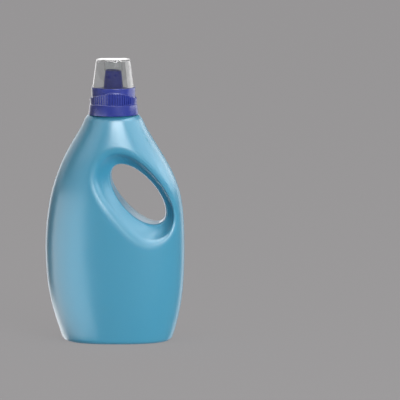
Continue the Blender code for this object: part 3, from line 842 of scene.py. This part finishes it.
@dataclass
class ScrewCollar:
    """The screw collar: a grooved top, an arched ribbed band, a skirt and a threaded sleeve."""

    top_radius: float = 22.6 * MM
    waist_radius: float = 22.4 * MM
    opening_radius: float = 13.0 * MM
    lip_thickness: float = 1.6 * MM
    edge: float = 0.4 * MM
    clamp_ring_radius: float = 16.5 * MM
    clamp_face: float = 258.8 * MM
    skirt_radius: float = 25.7 * MM
    skirt_top_radius: float = 24.4 * MM
    skirt_bottom: float = 234.0 * MM
    skirt_wall: float = 1.4 * MM
    sleeve_radius: float = 19.8 * MM
    sleeve_wall: float = 1.4 * MM
    sleeve_bottom: float = 238.5 * MM
    thread: ScrewThread = ScrewThread(
        start=243.5 * MM, turns=2.4, half_width=0.6 * MM, root=0.2 * MM, rise=0.9 * MM, inward=True
    )
    groove_inner: float = 20.1 * MM
    groove_outer: float = 21.9 * MM
    groove_floor: float = 260.0 * MM
    band_radius: float = 24.4 * MM
    band_foot_radius: float = 23.9 * MM
    band_bottom: float = 244.8 * MM
    band_side_top: float = 249.7 * MM
    band_rise: float = 8.0 * MM
    arch_power: float = 1.5
    band_fillet: float = 0.5 * MM
    ribs_on_a_pad: int = 17
    rib_pitch: float = radians(6.0)
    rib_width: float = 1.2 * MM
    rib_crest_width: float = 0.7 * MM
    rib_radius: float = 25.0 * MM
    rib_margin: float = 0.6 * MM
    rib_run: float = 0.4 * MM
    plain_step: float = radians(2.4)
    sharp: float = 35.0

    def columns(self) -> list[Pair]:
        """The columns' angles, each with the share of a rib's height that it has."""
        columns = []
        half_root = self.rib_width / 2.0 / self.band_radius
        half_crest = self.rib_crest_width / 2.0 / self.band_radius
        half_pad = (self.ribs_on_a_pad - 1) / 2.0 * self.rib_pitch
        rib_form = ((-half_root, 0.0), (-half_crest, 1.0), (0.0, 1.0), (half_crest, 1.0), (half_root, 0.0))
        for pad in (pi / 2.0, pi * 1.5):
            for rib in range(self.ribs_on_a_pad):
                middle = pad - half_pad + rib * self.rib_pitch
                columns += [(middle + aside, share) for aside, share in rib_form]
                if rib < self.ribs_on_a_pad - 1:
                    columns.append((middle + self.rib_pitch / 2.0, 0.0))
            start = pad + half_pad + half_root
            end = pad + pi - half_pad - half_root
            steps = round((end - start) / self.plain_step)
            columns += [(angle, 0.0) for angle in span(start, end, steps)[:-1]]
        return columns

    def band_top(self, angle: float) -> float:
        """The band's upper edge: an arch at the front and the back, low at the sides."""
        return self.band_side_top + self.band_rise * abs(sin(angle)) ** self.arch_power

    def profile(self, angle: float, rib: float) -> Outline:
        """The collar's closed section at an angle, with the share of a rib's height that it has there."""
        arch = self.band_top(angle)
        sleeve_outer = self.sleeve_radius + self.sleeve_wall
        pocket_roof = self.band_side_top - self.skirt_wall
        rib_low = self.band_bottom + self.rib_margin
        rib_high = arch - self.rib_margin
        band_slope = (self.band_radius - self.band_foot_radius) / (arch - self.band_bottom)

        def band_at(height: float, share: float) -> Pair:
            """A point on the band, raised by a share of the rib."""
            plain = self.band_foot_radius + band_slope * (height - self.band_bottom)
            return (plain + (self.rib_radius - plain) * share, height)

        return rounded(
            [
                (self.opening_radius, COLLAR_TOP, self.edge),
                (self.groove_inner, COLLAR_TOP, 0.2 * MM),
                (self.groove_inner, self.groove_floor),
                (self.groove_outer, self.groove_floor),
                (self.groove_outer, COLLAR_TOP, 0.15 * MM),
                (self.top_radius, COLLAR_TOP, 0.35 * MM),
                (self.waist_radius, arch, self.band_fillet),
                (self.band_radius, arch, self.band_fillet),
                band_at(rib_high, 0.0),
                band_at(rib_high - self.rib_run, rib),
                band_at(rib_low + self.rib_run, rib),
                band_at(rib_low, 0.0),
                (self.band_foot_radius, self.band_bottom),
                (self.skirt_top_radius, self.band_bottom - self.band_fillet),
                (self.skirt_radius, self.skirt_bottom, self.edge),
                (self.skirt_radius - self.skirt_wall, self.skirt_bottom, self.edge),
                (self.skirt_top_radius - self.skirt_wall, self.band_bottom),
                (self.skirt_top_radius - self.skirt_wall, pocket_roof),
                (sleeve_outer, pocket_roof),
                (sleeve_outer, self.sleeve_bottom, self.edge),
                (self.sleeve_radius, self.sleeve_bottom, self.edge),
                (self.sleeve_radius, self.clamp_face),
                (self.clamp_ring_radius, self.clamp_face),
                (self.clamp_ring_radius, COLLAR_TOP - self.lip_thickness),
                (self.opening_radius, COLLAR_TOP - self.lip_thickness, 0.3 * MM),
            ],
            steps=3,
        )

    def build(self) -> Item:
        """Builds the collar and returns the dressed piece."""
        ribs = dict(self.columns())
        builder = turned(list(ribs), lambda angle: self.profile(angle, ribs[angle]))
        self.thread.wind(builder, self.sleeve_radius)
        finish = VIOLET_PP.material()
        return dressed("screw_collar", builder, self.sharp, finish, Body.COLLAR, Slot.CLOSURE, "collar")


@dataclass
class PouringSpout:
    """The captive insert: a tapered nozzle with a wavy lip in a drip trough that plugs the neck."""

    columns: int = 120
    top: float = 281.0 * MM
    nozzle_top_radius: float = 8.1 * MM
    nozzle_base_radius: float = 10.2 * MM
    root_radius: float = 10.4 * MM
    wall: float = 1.2 * MM
    plug_radius: float = 16.6 * MM
    trough_radius: float = 15.4 * MM
    bottom: float = 246.3 * MM
    floor: float = 247.8 * MM
    flange_under: float = 257.1 * MM
    flange_face: float = 258.5 * MM
    fillet: float = 0.8 * MM
    lip_dip: float = 1.3 * MM
    dip_angle: float = radians(-55.0)
    notch: float = 0.8 * MM
    notch_angle: float = radians(-38.0)
    notch_spread: float = radians(13.0)
    drain: Triple = (7.0 * MM, 2.6 * MM, 6.0 * MM)
    sharp: float = 35.0

    def lip_height(self, angle: float) -> float:
        """The height of the wavy lip."""
        wave = self.lip_dip * (1.0 + cos(angle - self.dip_angle)) / 2.0
        away = (angle - self.notch_angle + pi) % tau - pi
        return self.top - wave - self.notch * exp(-((away / self.notch_spread) ** 2))

    def profile(self, angle: float) -> Outline:
        """The spout's closed section at an angle."""
        lip = self.lip_height(angle)
        return rounded(
            [
                (self.nozzle_top_radius, lip, 0.45 * MM),
                (self.nozzle_base_radius, COLLAR_TOP),
                (self.root_radius, self.floor, self.fillet),
                (self.trough_radius, self.floor, self.fillet),
                (self.trough_radius, self.flange_face, 0.3 * MM),
                (NECK_RADIUS, self.flange_face, 0.2 * MM),
                (NECK_RADIUS, self.flange_under),
                (self.plug_radius, self.flange_under),
                (self.plug_radius, self.bottom, self.fillet),
                (self.root_radius - self.wall, self.bottom, 0.3 * MM),
                (self.nozzle_base_radius - self.wall, COLLAR_TOP),
                (self.nozzle_top_radius - self.wall, lip, 0.45 * MM),
            ],
            steps=4,
        )

    def build(self) -> Item:
        """Builds the spout and returns the dressed piece."""
        builder = turned(circle(self.columns), self.profile)
        # The finish's deeper violet is painted shade, standing for the clear cap's shade over the spout.
        finish = SHADED_SPOUT_VIOLET.material()
        piece = dressed("pouring_spout", builder, self.sharp, finish, Body.SPOUT, Slot.CLOSURE, "spout")
        block = bmesh.new()
        bmesh.ops.create_cube(block, size=1.0)
        bmesh.ops.scale(block, vec=self.drain, verts=block.verts)
        middle = (self.root_radius + self.trough_radius) / 2.0
        bmesh.ops.translate(block, vec=(NECK_X, middle, self.floor), verts=block.verts)
        cutter = finish_mesh("drain_cutter", block)
        cutter.hide_render = True
        cut = piece.modifiers.new("drain", "BOOLEAN")
        cut.operation = "DIFFERENCE"
        cut.object = cutter
        return piece


@dataclass
class DosingCap:
    """The clear cup, upside down in the collar's groove, with a ring that slips over the nozzle."""

    columns: int = 144
    top: float = 290.8 * MM
    top_radius: float = 17.6 * MM
    mouth: float = 260.3 * MM
    mouth_radius: float = 21.6 * MM
    wall: float = 1.2 * MM
    rounding: float = 2.0 * MM
    ring_bottom: float = 279.3 * MM
    ring_inner: float = 8.59 * MM
    ring_wall: float = 0.7 * MM
    sharp: float = 50.0

    def profile(self, _angle: float) -> Outline:
        """The cap's closed section, from the middle of its top round its mouth to the ring inside."""
        under = self.top - self.wall
        ring_outer = self.ring_inner + self.ring_wall
        return rounded(
            [
                (0.0, self.top),
                (self.top_radius, self.top, self.rounding),
                (self.mouth_radius, self.mouth, 0.35 * MM),
                (self.mouth_radius - self.wall, self.mouth, 0.35 * MM),
                (self.top_radius - self.wall, under, self.rounding - self.wall * 0.5),
                (ring_outer, under, 0.3 * MM),
                (ring_outer, self.ring_bottom, 0.2 * MM),
                (self.ring_inner, self.ring_bottom, 0.2 * MM),
                (self.ring_inner, under, 0.3 * MM),
                (0.0, under),
            ],
            steps=5,
        )

    def build(self) -> Item:
        """Builds the cap and returns the dressed piece."""
        builder = turned(circle(self.columns), self.profile)
        finish = CLEAR_PP.material()
        return dressed("clear_dosing_cap", builder, self.sharp, finish, Body.CAP, Slot.CLEAR, "dosing_cap")


# Studio


@dataclass(frozen=True)
class Softbox:
    """A soft lamp, placed by where it stands as seen from the bottle.

    The azimuth runs from the camera's side towards +X. The radiance is what the lamp's face shows. Most
    lamps are only there to be mirrored.
    """

    name: str
    azimuth: float
    elevation: float
    distance: float
    width: float
    height: float
    radiance: float
    reach: Reach = Reach.GLOSS

    def place(self, target: Vector) -> None:
        """Sets the lamp up, facing the target."""
        turn = radians(self.azimuth)
        tilt = radians(self.elevation)
        away = Vector((sin(turn) * cos(tilt), -cos(turn) * cos(tilt), sin(tilt)))
        lamp = bpy.data.lights.new(self.name, "AREA")
        lamp.shape = "RECTANGLE"
        lamp.size = self.width
        lamp.size_y = self.height
        lamp.energy = self.radiance * pi * self.width * self.height
        item = stand(self.name, lamp, target + away * self.distance, -away)
        item.visible_camera = False
        item.visible_transmission = False
        item.visible_diffuse = self.reach is not Reach.GLOSS
        item.visible_glossy = self.reach is not Reach.DIFFUSE


@dataclass
class Studio:
    """The plain studio: a pale floor that runs out of sight, soft lamps and the camera."""

    background: str = "#A2A0A1"
    floor_size: float = 60.0
    paint: str = "#A4A2A3"
    shadow_share: float = 0.2
    fill: float = 0.25
    target: Triple = (0.0, 0.0, 150.0 * MM)
    camera_place: Triple = (87.9 * MM, -6.0, 890.0 * MM)
    camera_aim: Triple = (87.9 * MM, 0.0, 144.9 * MM)
    pixel: float = 1.03 * MM
    lamps: tuple[Softbox, ...] = (
        Softbox("key_softbox", 20.0, 30.0, 2.4, 1.3, 1.2, 1.0, Reach.ALL),
        Softbox("key_core", 13.0, 38.0, 2.4, 1.4, 1.0, 14.0),
        Softbox("front_fill", 32.0, -2.0, 2.4, 1.8, 2.0, 5.0, Reach.DIFFUSE),
        Softbox("top_left_fill", -10.0, 80.0, 2.4, 1.8, 1.8, 1.3, Reach.DIFFUSE),
        Softbox("top_left_panel", -54.0, 38.0, 2.4, 1.6, 1.4, 2.0),
        Softbox("top_right_panel", 80.0, 44.0, 2.4, 2.2, 2.4, 3.0),
        Softbox("left_panel", -64.0, -17.5, 0.32, 0.46, 0.35, 3.6),
        Softbox("overhead_panel", 100.0, 76.0, 2.4, 1.7, 1.8, 4.6),
        Softbox("cap_top_panel", 0.0, 90.0, 0.36, 0.24, 0.24, 8.0),
        Softbox("cap_back_panel", 180.0, 10.0, 2.4, 1.3, 0.4, 1.5),
        Softbox("cap_side_panel", 112.0, 20.0, 0.54, 0.5, 0.2, 3.4),
        Softbox("left_low_panel", -132.0, -26.0, 2.4, 1.6, 0.7, 2.8),
        Softbox("left_high_panel", -126.0, 26.0, 2.4, 1.8, 1.4, 1.3),
        Softbox("left_rim_panel", -160.0, 0.0, 2.4, 1.2, 2.6, 1.5),
        Softbox("right_rim_panel", 146.0, -8.0, 2.4, 1.0, 2.2, 1.1),
    )

    def world(self) -> None:
        """Makes the world: an even fill light that shows the background's colour to the camera."""
        world = bpy.data.worlds.new("studio")
        tree = cleared_tree(world)
        fill = add_node(tree, "ShaderNodeBackground", {"Color": linear("#FFFFFF"), "Strength": self.fill})
        plain = add_node(tree, "ShaderNodeBackground", {"Color": linear(self.background)})
        self.blend(tree, self.seen(tree), fill, plain, "ShaderNodeOutputWorld")
        bpy.context.scene.world = world

    @staticmethod
    def seen(tree: Tree) -> Socket:
        """One where a surface is seen by the camera, in gloss or through clear plastic, else zero."""
        path = add_node(tree, "ShaderNodeLightPath")
        seen = path.outputs["Is Camera Ray"]
        for ray in ("Is Glossy Ray", "Is Transmission Ray"):
            links = {0: seen, 1: path.outputs[ray]}
            seen = add_node(tree, "ShaderNodeMath", links=links, operation="MAXIMUM").outputs["Value"]
        return seen

    @staticmethod
    def blend(tree: Tree, share: Socket, real: Node, shown: Node, output: str) -> None:
        """Blends a real shader into a shown one by a share, and joins both to the tree's output."""
        links = {0: share, 1: real.outputs[0], 2: shown.outputs[0]}
        both = add_node(tree, "ShaderNodeMixShader", links=links)
        add_node(tree, output, links={"Surface": both.outputs["Shader"]})

    def floor(self) -> None:
        """Lays the floor: a pale painted surface that melts into the background and keeps a soft shadow."""
        builder = bmesh.new()
        bmesh.ops.create_grid(builder, x_segments=1, y_segments=1, size=self.floor_size / 2.0)
        item = finish_mesh("studio_floor", builder)
        material = bpy.data.materials.new("matt_painted_floor")
        tree = cleared_tree(material)
        paint = add_node(tree, "ShaderNodeBsdfDiffuse", {"Color": linear(self.paint)})
        glow = add_node(tree, "ShaderNodeEmission", {"Color": linear(self.background)})
        lit = {1: 1.0 - self.shadow_share}
        share = add_node(tree, "ShaderNodeMath", lit, {0: self.seen(tree)}, operation="MULTIPLY")
        self.blend(tree, share.outputs["Value"], paint, glow, "ShaderNodeOutputMaterial")
        item.data.materials.append(material)
        item.visible_glossy = False
        item.visible_shadow = False

    def camera(self) -> None:
        """Sets up the long lens at the photograph's viewing angle."""
        place = Vector(self.camera_place)
        aim = Vector(self.camera_aim)
        lens = bpy.data.cameras.new("photo_camera")
        lens.sensor_width = SENSOR
        lens.lens = SENSOR / PHOTO_WIDTH * (aim - place).length / self.pixel
        lens.clip_end = 200.0
        bpy.context.scene.camera = stand("photo_camera", lens, place, aim - place)

    def build(self) -> None:
        """Sets up the whole studio."""
        bpy.context.scene.view_settings.view_transform = "Standard"
        self.camera()
        self.world()
        self.floor()
        for lamp in self.lamps:
            lamp.place(Vector(self.target))


def main() -> None:
    """Builds the studio and the pieces in order."""
    logging.basicConfig(level=logging.INFO, format="%(name)s: %(message)s")
    Studio().build()
    LOG.info("studio ready")
    for assembly in (BottleShell(), ScrewCollar(), PouringSpout(), DosingCap()):
        piece = assembly.build()
        LOG.info("%s: %d faces", piece.name, len(piece.data.polygons))


if __name__ == "__main__":
    main()
